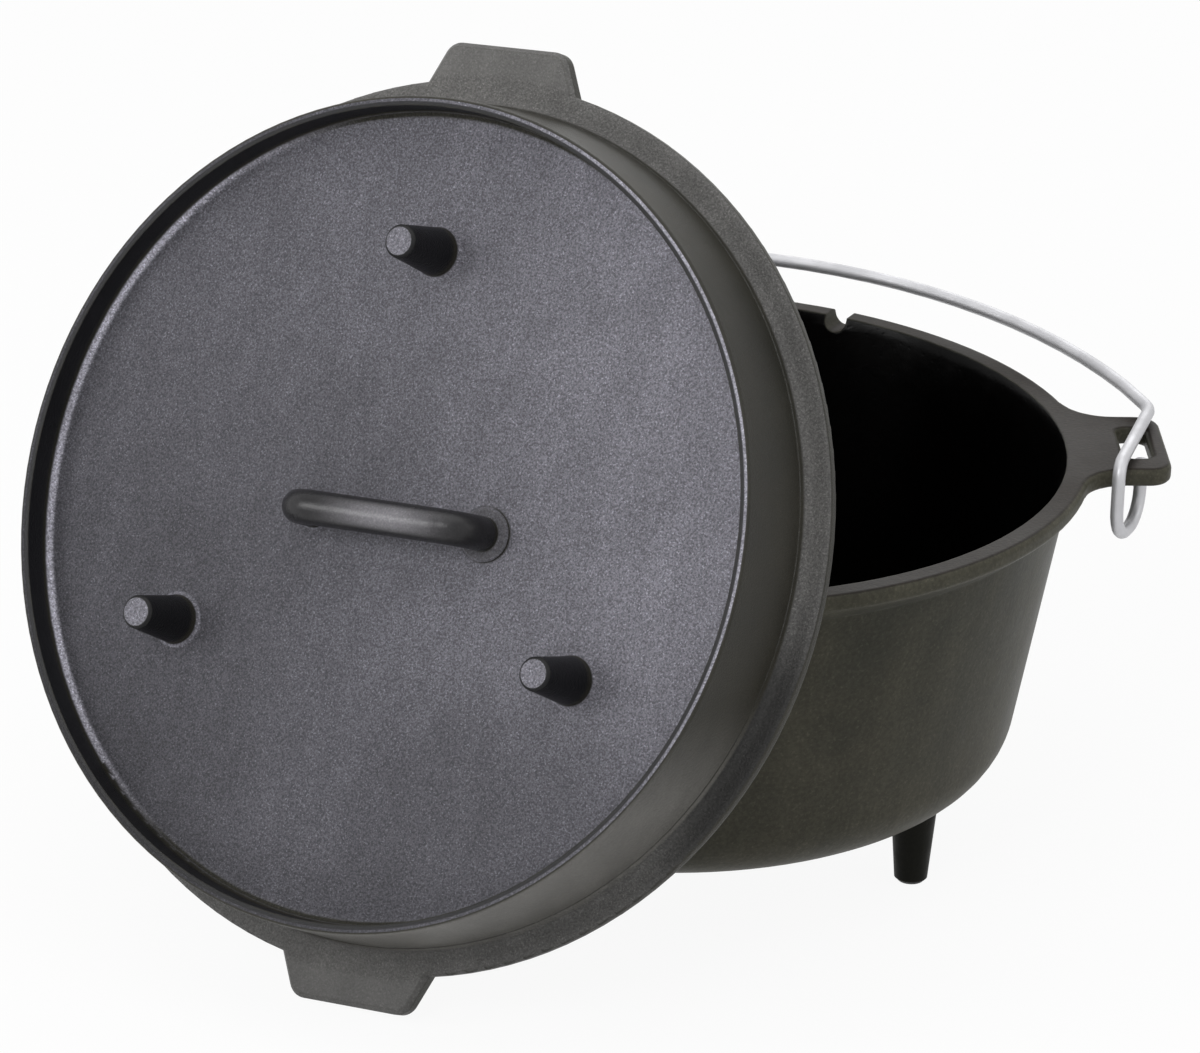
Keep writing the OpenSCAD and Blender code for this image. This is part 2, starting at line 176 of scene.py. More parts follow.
# Cast iron: brightness of worn edges, shares of the grain, steps of roughness, and bump
WEAR_BRIGHT = 2.4
SPECKLE_LEAST = 0.3
GRAIN_LEAST = 0.35
GRAIN_SMOOTH = 0.4
ROUGH_DOWN = 0.06
ROUGH_UP = 0.05
ROUGH_SANDY = 0.10
ROUGH_SMOOTH = 0.20
WAVE_HEIGHT = 0.0012
WAVE_STRENGTH = 0.12
PIT_STRENGTH = 0.15
EDGE_SAMPLES = 6

# Zinc wire: scales of its noises per metre, and its finish
SPANGLE_SCALE = 60.0
MARK_SCALE = 900.0
DULL_SPAN = (0.35, 0.7)
DULL_SHARE = 0.88
ZINC_DOWN = 0.05
ZINC_UP = 0.08
ZINC_METAL = 0.6
MARK_HEIGHT = 0.00006
MARK_STRENGTH = 0.6

# Stage: strength of the room's light, white that the floor shows, and the camera's sensor in mm and reach
ROOM_LIGHT = 0.35
FLOOR_WHITE = 0.93
WHITE = (1.0, 1.0, 1.0, 1.0)
SENSOR_WIDTH = 36.0
VIEW_END = 100.0

# Name, place, target, size and power of each lamp
LAMPS = (
    ("top_soft", (0.1, -0.2, 2.6), (0.0, 0.0, 0.1), 2.4, 20.0),
    ("right_soft", (2.4, -1.0, 1.5), (0.0, 0.0, 0.12), 1.4, 8.0),
    ("left_soft", (-1.3, -2.5, 1.9), (-0.05, -0.05, 0.15), 1.0, 28.0),
    ("back_soft", (0.7, 2.4, 1.7), (0.0, 0.0, 0.1), 1.6, 14.0),
    ("left_sheen", (-2.2, -0.95, 1.0), (-0.1, -0.1, 0.16), 0.9, 22.0),
)


class PotLook(bpy.types.PropertyGroup):
    """Finish of the pot's casting"""

    colour: bpy.props.FloatVectorProperty(
        name="Colour", description="Seasoned iron of the pot", subtype="COLOR",
        size=3, min=0, max=1, default=(0.045, 0.0445, 0.034))
    tint: bpy.props.FloatVectorProperty(
        name="Tint", description="Browner patches of the seasoning", subtype="COLOR",
        size=3, min=0, max=1, default=(0.054, 0.051, 0.038))
    # Black seasoning with painted shade inside the pot
    inside: bpy.props.FloatVectorProperty(
        name="Inside", description="Black seasoning inside the pot", subtype="COLOR",
        size=3, min=0, max=1, default=(0.0012, 0.0011, 0.0011))
    rim: bpy.props.FloatVectorProperty(
        name="Rim", description="Browner iron on top of the rim and the ears", subtype="COLOR",
        size=3, min=0, max=1, default=(0.016, 0.0122, 0.009))
    # Paler bead: painted highlight on worn iron
    bead: bpy.props.FloatVectorProperty(
        name="Bead", description="Rubbed iron round the rim's bead", subtype="COLOR",
        size=3, min=0, max=1, default=(0.066, 0.063, 0.047))
    # Painted shade under the pot and on its legs
    painted_shade_under: bpy.props.FloatVectorProperty(
        name="Underneath", description="Sooty iron under the pot and on its legs", subtype="COLOR",
        size=3, min=0, max=1, default=(0.006, 0.006, 0.004))
    grain: bpy.props.FloatProperty(
        name="Grain", description="Size of the sand grain left by the mould",
        default=0.0016, min=0.0005, max=0.01, unit="LENGTH", precision=4)
    relief: bpy.props.FloatProperty(
        name="Relief", description="Height of the sand grain",
        default=0.00022, min=0, max=0.001, unit="LENGTH", precision=5)
    roughness: bpy.props.FloatProperty(
        name="Roughness", description="Middle roughness of the seasoning",
        default=0.44, min=0.05, max=1, subtype="FACTOR")
    ear_start: bpy.props.FloatProperty(
        name="Ear start", description="Distance from the pot's axis at which the ears leave the rim",
        default=0.1613, min=0.16, max=0.18, unit="LENGTH", precision=4)
    ear_round: bpy.props.FloatProperty(
        name="Ear round", description="Rounding of the ears' edges",
        default=0.0019, min=0.0005, max=0.003, unit="LENGTH", precision=4)
    gloss: bpy.props.FloatProperty(
        name="Gloss", description="Specular level of the seasoning",
        default=0.08, min=0, max=1, subtype="FACTOR")
    soft_edge: bpy.props.FloatProperty(
        name="Soft edge", description="Rounding that light sees along cast edges",
        default=0.0012, min=0, max=0.004, unit="LENGTH", precision=4)


class LidLook(bpy.types.PropertyGroup):
    """Finish of the lid's casting"""

    colour: bpy.props.FloatVectorProperty(
        name="Colour", description="Seasoned iron of the wall and the underside", subtype="COLOR",
        size=3, min=0, max=1, default=(0.017, 0.016, 0.011))
    tint: bpy.props.FloatVectorProperty(
        name="Tint", description="Browner patches of the seasoning", subtype="COLOR",
        size=3, min=0, max=1, default=(0.023, 0.021, 0.015))
    plate: bpy.props.FloatVectorProperty(
        name="Plate", description="Paler sandy iron of the coal tray's floor", subtype="COLOR",
        size=3, min=0, max=1, default=(0.107, 0.105, 0.121))
    flange: bpy.props.FloatVectorProperty(
        name="Flange", description="Sandy iron of the flange and tabs", subtype="COLOR",
        size=3, min=0, max=1, default=(0.092, 0.090, 0.087))
    # Painted light from the floor on the low right of the wall
    wall: bpy.props.FloatVectorProperty(
        name="Wall", description="Iron wiped paler on the low side of the wall", subtype="COLOR",
        size=3, min=0, max=1, default=(0.118, 0.114, 0.105))
    # Also the painted shade on the tray's inner wall and the lip's inner edge
    leg: bpy.props.FloatVectorProperty(
        name="Leg", description="Black iron of the lid legs' sides and the lip's inner side", subtype="COLOR",
        size=3, min=0, max=1, default=(0.004, 0.004, 0.005))
    # Handle colour, painted darker at its ends and sides and with a painted highlight along its top
    handle: bpy.props.FloatVectorProperty(
        name="Handle", description="Smoother iron of the handle, rubbed by lifting", subtype="COLOR",
        size=3, min=0, max=1, default=(0.068, 0.066, 0.071))
    turn: bpy.props.FloatProperty(
        name="Turn", description="Direction that the leaning lid faces, in degrees", default=-125.6)
    lean: bpy.props.FloatProperty(
        name="Lean", description="Lean of the lid's axis above the ground, in degrees", default=25.0)
    boss_place: bpy.props.FloatVectorProperty(
        name="Boss", description="Place of the handle's boss from the middle of the lid",
        subtype="TRANSLATION", size=3, default=(0.0323, -0.0217, 0.0025))
    plate_height: bpy.props.FloatProperty(
        name="Plate height", description="Height of the tray's floor above the lid's seat",
        default=0.0297, min=0.01, max=0.06, unit="LENGTH", precision=4)
    grain: bpy.props.FloatProperty(
        name="Grain", description="Size of the sand grain left by the mould",
        default=0.0008, min=0.0005, max=0.01, unit="LENGTH", precision=4)
    relief: bpy.props.FloatProperty(
        name="Relief", description="Height of the sand grain",
        default=0.0008, min=0, max=0.001, unit="LENGTH", precision=5)
    roughness: bpy.props.FloatProperty(
        name="Roughness", description="Middle roughness of the seasoning",
        default=0.44, min=0.05, max=1, subtype="FACTOR")
    gloss: bpy.props.FloatProperty(
        name="Gloss", description="Specular level of the seasoning",
        default=0.26, min=0, max=1, subtype="FACTOR")
    soft_edge: bpy.props.FloatProperty(
        name="Soft edge", description="Rounding that light sees along cast edges",
        default=0.0012, min=0, max=0.004, unit="LENGTH", precision=4)


class BailLook(bpy.types.PropertyGroup):
    """Finish of the bail's wire"""

    colour: bpy.props.FloatVectorProperty(
        name="Colour", description="Zinc on the wire", subtype="COLOR",
        size=3, min=0, max=1, default=(0.60, 0.60, 0.62))
    roughness: bpy.props.FloatProperty(
        name="Roughness", description="Middle roughness of the zinc",
        default=0.5, min=0.05, max=1, subtype="FACTOR")


class StageLook(bpy.types.PropertyGroup):
    """Floor and camera"""

    floor_colour: bpy.props.FloatVectorProperty(
        name="Floor", description="Pale floor", subtype="COLOR",
        size=3, min=0, max=1, default=(0.86, 0.86, 0.86))
    floor_size: bpy.props.FloatProperty(
        name="Floor size", description="Side of the floor", default=16.0, min=4, max=40, unit="LENGTH")
    lens: bpy.props.FloatProperty(
        name="Lens", description="Focal length on a 36 mm sensor", default=210.0, min=20, max=400)
    camera_place: bpy.props.FloatVectorProperty(
        name="Camera", description="Place of the camera", subtype="TRANSLATION", size=3,
        default=(-0.16865, -2.44577, 1.12593))
    camera_turn: bpy.props.FloatVectorProperty(
        name="Camera turn", description="Turn of the camera, in degrees", size=3,
        default=(67.6723, -1.7051, -2.7196))


def empty_tree(owner):
    """Gives a material or a world an empty node tree."""
    owner.use_nodes = True
    owner.node_tree.nodes.clear()
    return owner.node_tree


def new_material(name):
    """A material with its tree and its shader."""
    material = bpy.data.materials.new(name)
    tree = empty_tree(material)
    output = tree.nodes.new("ShaderNodeOutputMaterial")
    shader = tree.nodes.new("ShaderNodeBsdfPrincipled")
    tree.links.new(shader.outputs["BSDF"], output.inputs["Surface"])
    return material, tree, shader


def math_node(tree, operation, first, second=None, clamp=False):
    """A Math node whose inputs are sockets or numbers."""
    node = tree.nodes.new("ShaderNodeMath")
    node.operation = operation
    node.use_clamp = clamp
    for index, value in enumerate((first, second)):
        if value is None:
            continue
        if isinstance(value, (int, float)):
            node.inputs[index].default_value = value
        else:
            tree.links.new(value, node.inputs[index])
    return node.outputs[0]


def product(tree, first, *others):
    """Product of sockets or numbers."""
    for other in others:
        first = math_node(tree, "MULTIPLY", first, other)
    return first


def inverse(tree, mask):
    """One less a mask."""
    return math_node(tree, "SUBTRACT", 1.0, mask)


def noise(tree, place, scale, detail, rough):
    """Noise at a place, about zero to one."""
    node = tree.nodes.new("ShaderNodeTexNoise")
    node.inputs["Scale"].default_value = scale
    node.inputs["Detail"].default_value = detail
    node.inputs["Roughness"].default_value = rough
    tree.links.new(place, node.inputs["Vector"])
    return node.outputs[0]


def remap(tree, value, low, high, to_low=0.0, to_high=1.0):
    """Maps a span of values smoothly to another, clamped."""
    node = tree.nodes.new("ShaderNodeMapRange")
    node.interpolation_type = "SMOOTHSTEP"
    tree.links.new(value, node.inputs["Value"])
    for name, number in (
            ("From Min", low), ("From Max", high), ("To Min", to_low), ("To Max", to_high)):
        node.inputs[name].default_value = number
    return node.outputs["Result"]


def fade(tree, mask, to_low, to_high):
    """Maps a mask to two levels."""
    return remap(tree, mask, 0.0, 1.0, to_low, to_high)


def band(tree, value, start, end):
    """A mask that is one from a first span to a second."""
    return math_node(tree, "SUBTRACT", remap(tree, value, *start), remap(tree, value, *end), clamp=True)


def mix_colour(tree, share, first, second, blend="MIX"):
    """Mixes two colours, each a socket or a colour value."""
    node = tree.nodes.new("ShaderNodeMix")
    node.data_type = "RGBA"
    node.blend_type = blend
    if isinstance(share, (int, float)):
        node.inputs[0].default_value = share
    else:
        tree.links.new(share, node.inputs[0])
    for index, colour in zip(MIX_COLOURS, (first, second)):
        if isinstance(colour, bpy.types.NodeSocket):
            tree.links.new(colour, node.inputs[index])
        else:
            node.inputs[index].default_value = (*colour[:3], 1.0)
    return node.outputs[MIX_RESULT]


def shaded(tree, colour, share):
    """A colour times a socket's number."""
    return mix_colour(tree, 1.0, colour, share, "MULTIPLY")


def scaled(colour, share):
    """A colour value times a number."""
    return tuple(share * part for part in colour)


def vector_node(tree, operation, first, second=None):
    """A Vector Math node on a socket and on a socket or a fixed vector."""
    node = tree.nodes.new("ShaderNodeVectorMath")
    node.operation = operation
    tree.links.new(first, node.inputs[0])
    if isinstance(second, bpy.types.NodeSocket):
        tree.links.new(second, node.inputs[1])
    elif second is not None:
        node.inputs[1].default_value = second
    return node.outputs


def parts_of(tree, vector):
    """The three parts of a vector socket."""
    node = tree.nodes.new("ShaderNodeSeparateXYZ")
    tree.links.new(vector, node.inputs[0])
    return node.outputs


def along(tree, coords, centre, way):
    """Distance of a point from a centre, along a direction."""
    start = sum(a * b for a, b in zip(centre, way))
    return math_node(tree, "SUBTRACT", vector_node(tree, "DOT_PRODUCT", coords, way)["Value"], start)


def from_axis(tree, coords, centre, axis):
    """Distance of a point from a line through a centre."""
    offset = vector_node(tree, "SUBTRACT", coords, centre)["Vector"]
    across = vector_node(tree, "CROSS_PRODUCT", offset, axis)["Vector"]
    return vector_node(tree, "LENGTH", across)["Value"]


def bump(tree, height, distance, strength, normal=None):
    """Bump over another normal."""
    node = tree.nodes.new("ShaderNodeBump")
    node.inputs["Strength"].default_value = strength
    node.inputs["Distance"].default_value = distance
    tree.links.new(height, node.inputs["Height"])
    if normal is not None:
        tree.links.new(normal, node.inputs["Normal"])
    return node.outputs["Normal"]


def backdrop_rays(tree):
    """One for rays that see the white backdrop: straight ones, reflections and rays through glass."""
    seen = tree.nodes.new("ShaderNodeLightPath").outputs
    both = math_node(tree, "ADD", seen["Is Camera Ray"], seen["Is Glossy Ray"])
    return math_node(tree, "ADD", both, seen["Is Transmission Ray"], clamp=True)


def mix_backdrop(tree, share, plain, white, output):
    """Sends a share of a white shader and the rest of a plain one to an output."""
    both = tree.nodes.new("ShaderNodeMixShader")
    tree.links.new(share, both.inputs[0])
    tree.links.new(plain.outputs[0], both.inputs[1])
    tree.links.new(white.outputs[0], both.inputs[2])
    tree.links.new(both.outputs[0], output.inputs["Surface"])


def cast_iron(name, look, zones):
    """Seasoned sand-cast iron: grain, soft waves, patches, softly lit edges and rubbed corners."""
    material, tree, shader = new_material(name)
    coords = tree.nodes.new("ShaderNodeTexCoord").outputs["Object"]
    geometry = tree.nodes.new("ShaderNodeNewGeometry")
    rounded = tree.nodes.new("ShaderNodeBevel")
    rounded.samples = EDGE_SAMPLES
    rounded.inputs["Radius"].default_value = look.soft_edge
    soft_normal = rounded.outputs["Normal"]

    grain = noise(tree, coords, 1.0 / look.grain, detail=3.0, rough=0.65)
    waves = noise(tree, coords, WAVE_SCALE, detail=2.0, rough=0.5)
    patches = noise(tree, coords, PATCH_SCALE, detail=4.0, rough=0.6)

    colour = mix_colour(tree, remap(tree, patches, *TINT_SPAN), look.colour, look.tint)
    colour, sandy, smooth = zones(tree, coords, geometry, colour)
    colour = shaded(tree, colour, remap(tree, patches, *CLOUD))
    colour = shaded(tree, colour, wipe_marks(tree, coords))
    # Grain, with painted glints
    grainy = shaded(tree, colour, speckle(tree, coords, grain, look))
    colour = mix_colour(tree, fade(tree, sandy, SPECKLE_LEAST, 1.0), colour, grainy)
    facing = vector_node(tree, "DOT_PRODUCT", soft_normal, geometry.outputs["Normal"])["Value"]
    worn = product(tree, remap(tree, facing, *EDGE_SPAN), remap(tree, waves, *WEAR))
    colour = mix_colour(tree, worn, colour, scaled(look.colour, WEAR_BRIGHT))

    rough = remap(tree, patches, *NOISE_SPAN, look.roughness - ROUGH_DOWN, look.roughness + ROUGH_UP)
    rough = math_node(tree, "ADD", rough, product(tree, sandy, ROUGH_SANDY))
    rough = math_node(tree, "SUBTRACT", rough, product(tree, smooth, ROUGH_SMOOTH))

    relief = product(
        tree, grain, fade(tree, sandy, GRAIN_LEAST, 1.0), fade(tree, smooth, 1.0, GRAIN_SMOOTH))
    normal = bump(tree, waves, WAVE_HEIGHT, WAVE_STRENGTH, soft_normal)
    normal = bump(tree, relief, look.relief, 1.0, normal)
    normal = bump(tree, pits(tree, coords), look.relief, PIT_STRENGTH, normal)

    tree.links.new(colour, shader.inputs["Base Color"])
    tree.links.new(rough, shader.inputs["Roughness"])
    tree.links.new(normal, shader.inputs["Normal"])
    shader.inputs["Specular IOR Level"].default_value = look.gloss
    return material


def wipe_marks(tree, coords):
    """Upright streaks left by the oiled cloth."""
    stretch = tree.nodes.new("ShaderNodeMapping")
    stretch.inputs["Scale"].default_value = WIPE_SCALE
    tree.links.new(coords, stretch.inputs["Vector"])
    return remap(tree, noise(tree, stretch.outputs[0], 1.0, detail=3.0, rough=0.6), *WIPE)


def speckle(tree, coords, grain, look):
    """Dark and pale grains, with a few painted glints."""
    fine = noise(tree, coords, PAINTED_GLINT_FINER / look.grain, detail=1.0, rough=0.5)
    return product(tree, remap(tree, grain, *SPECKLE), remap(tree, fine, *PAINTED_GLINT))


def pits(tree, coords):
    """Height of the skin between small pits."""
    node = tree.nodes.new("ShaderNodeTexVoronoi")
    node.inputs["Scale"].default_value = PIT_SCALE
    tree.links.new(coords, node.inputs["Vector"])
    return remap(tree, node.outputs["Distance"], *PIT_SPAN)


def pot_zones(tree, coords, geometry, colour):
    """Iron of the pot: bead with a painted highlight, browner tops, black seasoning with painted shade
    inside, and painted shade below.
    """
    look = bpy.context.scene.oven_pot
    x, y, z = parts_of(tree, coords)
    facing_x, facing_y, facing_z = parts_of(tree, geometry.outputs["Normal"])
    radius = math_node(tree, "SQRT", math_node(tree, "ADD", product(tree, x, x), product(tree, y, y)))
    outward = math_node(tree, "ADD", product(tree, x, facing_x), product(tree, y, facing_y))
    outward = math_node(tree, "DIVIDE", outward, math_node(tree, "MAXIMUM", radius, NEAR_AXIS))

    floor = product(tree, remap(tree, facing_z, *FACES_UP), remap(tree, z, *INSIDE_FLOOR))
    inside = math_node(tree, "MAXIMUM", remap(tree, outward, *FACES_AXIS), floor)
    inside = product(tree, inside, remap(tree, z, *INSIDE_START), remap(tree, radius, *MOUTH_EDGE))
    bead = product(tree, remap(tree, outward, *FACES_OUT), remap(tree, z, *BEAD_HEIGHT))

    # Painted highlight on the worn bead
    colour = mix_colour(tree, bead, colour, look.bead)
    colour = mix_colour(tree, remap(tree, facing_z, *LEVEL_TOP), colour, look.rim)
    # Black seasoning with painted shade inside
    colour = mix_colour(tree, inside, colour, look.inside)
    # Painted shade under the pot and on its legs
    colour = mix_colour(tree, remap(tree, z, *UNDERSIDE), colour, look.painted_shade_under)
    return colour, remap(tree, facing_z, *SANDY_TOP, 0.0, TOP_SAND), inside


class LidPlace:
    """Where a point of the leaning lid lies and which way it faces, as sockets."""

    def __init__(self, tree, coords, geometry, look):
        turn, lean = math.radians(look.turn), math.radians(look.lean)
        axis = (math.cos(turn) * math.cos(lean), math.sin(turn) * math.cos(lean), math.sin(lean))
        boss = tuple(a + b for a, b in zip(LID_CENTRE, look.boss_place))
        height = along(tree, coords, LID_CENTRE, axis)
        over_plate = math_node(tree, "SUBTRACT", height, look.plate_height)
        self.facing = vector_node(tree, "DOT_PRODUCT", geometry.outputs["Normal"], axis)["Value"]
        self.radius = from_axis(tree, coords, LID_CENTRE, axis)
        self.boss_radius = from_axis(tree, coords, boss, axis)
        self.across = along(tree, coords, LID_CENTRE, (-math.sin(turn), math.cos(turn), 0.0))
        self.rise = along(tree, coords, LID_CENTRE, (0.0, 0.0, 1.0))
        self.above = remap(tree, height, *WALL_FOOT)
        self.raised = remap(tree, over_plate, *PLATE_CLEAR)
        self.tip = remap(tree, over_plate, *LEG_TIP)


def lid_zones(tree, coords, geometry, colour):
    """Iron of the lid: handle, legs and wall, and the sandy faces of its tray, flange and tabs."""
    look = bpy.context.scene.oven_lid
    place = LidPlace(tree, coords, geometry, look)
    flat, curved = lid_faces(tree, place)
    # Painted highlight on the fillets at the foot of the tray's wall, the legs and the handle
    fillet_highlight = product(tree, math_node(tree, "SUBTRACT", curved, flat, clamp=True), place.above)
    bar = product(tree, place.raised, remap(tree, place.radius, *HANDLE_REACH))
    leg = product(tree, place.raised, band(tree, place.radius, LEG_RING_IN, LEG_RING_OUT))
    # Painted shade on the tray's inner wall, up to the lip's inner edge
    inner = product(tree, place.raised, band(tree, place.radius, LEG_RING_OUT, LIP_INNER_END))
    boss = product(tree, place.above, remap(tree, place.boss_radius, *BOSS_EDGE))

    # Handle with painted highlight and shade
    colour = mix_colour(tree, bar, colour, handle_highlight(tree, place, look))
    # Black sides of the legs, and painted shade on the tray's inner wall
    colour = mix_colour(tree, math_node(tree, "MAXIMUM", leg, inner), colour, look.leg)
    # Painted light from the floor on the wall's low right
    colour = mix_colour(tree, bounce_lit_wall(tree, place), colour, look.wall)
    pale = mix_colour(
        tree, place.above, flange_iron(tree, place, look), tray_iron(tree, place, look, fillet_highlight))
    sandy = product(
        tree, math_node(tree, "MAXIMUM", flat, curved), inverse(tree, bar),
        fade(tree, boss, 1.0, BOSS_SAND))
    colour = mix_colour(tree, sandy, colour, pale)
    sandy = product(
        tree, sandy, fade(tree, place.above, FLANGE_SAND, 1.0),
        remap(tree, place.radius, *TAB_START, 1.0, TAB_SAND))
    return colour, sandy, bar


def lid_faces(tree, place):
    """Masks of the faces that look along the lid's axis, and of the fillets round the plate."""
    crest = product(tree, place.raised, remap(tree, place.radius, *CREST_START))
    ridge = product(
        tree, remap(tree, place.facing, *RIDGE_FACING), remap(tree, place.radius, *RIDGE_START))
    flat = product(
        tree, remap(tree, place.facing, *FLAT_FACING),
        math_node(tree, "MAXIMUM", ridge, inverse(tree, crest)))
    curved = product(tree, inverse(tree, place.raised), remap(tree, place.facing, *CURVED_FACING))
    return flat, curved


def handle_highlight(tree, place, look):
    """Handle with painted shade on its ends and sides and a painted highlight along the middle of its top."""
    aside = math_node(tree, "ABSOLUTE", math_node(tree, "SUBTRACT", place.across, GRIP_MIDDLE))
    # Painted highlight along the middle of the bar's top
    rubbed = product(tree, remap(tree, aside, *GRIP_FADE), remap(tree, place.facing, *HIGHLIGHT_FACING))
    return mix_colour(tree, rubbed, scaled(look.handle, GRIP_SHADE), scaled(look.handle, GRIP_HIGHLIGHT))


def tray_iron(tree, place, look, fillet_highlight):
    """Plate with painted light and shade across it, painted highlight and shade on its lip and fillets, and
    rubbed leg tips.
    """
    # Painted light and shade across the plate: brighter to the right and upwards, darker at the low right
    low_right_shade = product(tree, remap(tree, place.across, *SHADE_RIGHT), remap(tree, place.rise, *SHADE_DOWN))
    painted_light = product(
        tree, remap(tree, place.across, *LIGHT_RIGHT), remap(tree, place.rise, *LIGHT_UP),
        fade(tree, low_right_shade, 1.0, SHADE_SHARE))
    pale = shaded(tree, look.plate, painted_light)
    lip = product(tree, place.raised, remap(tree, place.radius, *LIP_START))
    # Painted highlight on the lip to the right and upwards, painted shade to the left and below
    lip_highlight = product(tree, remap(tree, place.across, *HIGHLIGHT_RIGHT), remap(tree, place.rise, *HIGHLIGHT_UP))
    pale = mix_colour(tree, lip, pale, shaded(tree, pale, lip_highlight))
    # Painted highlight on the fillets
    pale = mix_colour(tree, fillet_highlight, pale, scaled(look.plate, FILLET_HIGHLIGHT))
    # Tray's edge rounding: painted highlight at the left, painted shade in the wall's dark colour elsewhere
    tray_edge = product(tree, fillet_highlight, remap(tree, place.radius, *FILLET_START))
    highlight_side = remap(tree, place.across, *HIGHLIGHT_LEFT)
    edge = mix_colour(tree, highlight_side, look.colour, scaled(look.plate, TRAY_EDGE_HIGHLIGHT))
    pale = mix_colour(tree, tray_edge, pale, edge)
    return mix_colour(tree, place.tip, pale, scaled(look.plate, TIP_BRIGHT))


def flange_iron(tree, place, look):
    """Flange and tabs, paler upwards and darker at the low right."""
    # Darker at the low right
    low_right_dark = product(tree, remap(tree, place.across, *DARK_RIGHT), remap(tree, place.rise, *DARK_DOWN))
    seat = shaded(tree, look.flange, remap(tree, place.rise, *FLANGE_UP))
    return shaded(tree, seat, fade(tree, low_right_dark, 1.0, DARK_SHARE))


def bounce_lit_wall(tree, place):
    """Mask of the wall's paler part at the low right, painted light from the floor below."""
    return product(
        tree, remap(tree, place.across, *BOUNCE_RIGHT), remap(tree, place.rise, *BOUNCE_DOWN),
        remap(tree, place.radius, *WALL_START), remap(tree, place.radius, *WALL_END))


def zinc_wire(name, look):
    """Zinc-plated steel wire with faint spangle and handling marks."""
    material, tree, shader = new_material(name)
    coords = tree.nodes.new("ShaderNodeTexCoord").outputs["Object"]
    spangle = noise(tree, coords, SPANGLE_SCALE, detail=3.0, rough=0.55)
    marks = noise(tree, coords, MARK_SCALE, detail=2.0, rough=0.55)
    dull = scaled(look.colour, DULL_SHARE)
    colour = mix_colour(tree, remap(tree, spangle, *DULL_SPAN), look.colour, dull)
    rough = remap(tree, spangle, *NOISE_SPAN, look.roughness - ZINC_DOWN, look.roughness + ZINC_UP)
    tree.links.new(colour, shader.inputs["Base Color"])
    tree.links.new(rough, shader.inputs["Roughness"])
    tree.links.new(bump(tree, marks, MARK_HEIGHT, MARK_STRENGTH), shader.inputs["Normal"])
    shader.inputs["Metallic"].default_value = ZINC_METAL
    return material


def only(piece):
    """Leaves one object selected and active."""
    bpy.ops.object.select_all(action="DESELECT")
    piece.select_set(True)
    bpy.context.view_layer.objects.active = piece


def give(piece, material):
    """Sets an object's only material."""
    piece.data.materials.clear()
    piece.data.materials.append(material)


def merged_copy(node, name, angle):
    """A welded, smooth copy of a CAD node's mesh as a piece of its own."""
    only(frame["nodes"][node])
    bpy.ops.object.duplicate()
    piece = bpy.context.view_layer.objects.active
    piece.name = name
    # The copy drops the marks of the CAD node
    for key in list(piece.keys()):
        del piece[key]
    piece.parent = None
    only(piece)
    bpy.ops.object.mode_set(mode="EDIT")
    bpy.ops.mesh.select_all(action="SELECT")
    bpy.ops.mesh.customdata_custom_splitnormals_clear()
    bpy.ops.mesh.remove_doubles(threshold=WELD_DISTANCE)
    bpy.ops.object.mode_set(mode="OBJECT")
    bpy.ops.object.shade_smooth_by_angle(angle=math.radians(angle))
    return piece


def select_faces(piece, test):
    """In edit mode, selects only the faces that pass a test."""
    bpy.ops.mesh.select_mode(type="FACE")
    bpy.ops.mesh.select_all(action="DESELECT")
    for face in bmesh.from_edit_mesh(piece.data).faces:
        face.select = test(face)
    bmesh.update_edit_mesh(piece.data)


def select_edges(piece, test):
    """In edit mode, selects only the edges that pass a test."""
    bpy.ops.mesh.select_mode(type="EDGE")
    bpy.ops.mesh.select_all(action="DESELECT")
    for edge in bmesh.from_edit_mesh(piece.data).edges:
        edge.select = test(edge)
    bmesh.update_edit_mesh(piece.data)


def drop_flaps(piece):
    """Removes triangles that hang on by one edge."""
    only(piece)
    bpy.ops.object.mode_set(mode="EDIT")
    select_faces(piece, lambda face: sum(edge.is_boundary for edge in face.edges) > 1)
    bpy.ops.mesh.delete(type="FACE")
    bpy.ops.object.mode_set(mode="OBJECT")


def even_shading(piece):
    """Smooth shading that keeps flat faces flat."""
    only(piece)
    bpy.ops.object.shade_smooth_by_angle(angle=math.radians(CAST_ANGLE))
    bpy.ops.object.modifier_add(type="WEIGHTED_NORMAL")
    piece.modifiers[-1].keep_sharp = True
    bpy.ops.object.modifier_apply(modifier=piece.modifiers[-1].name)


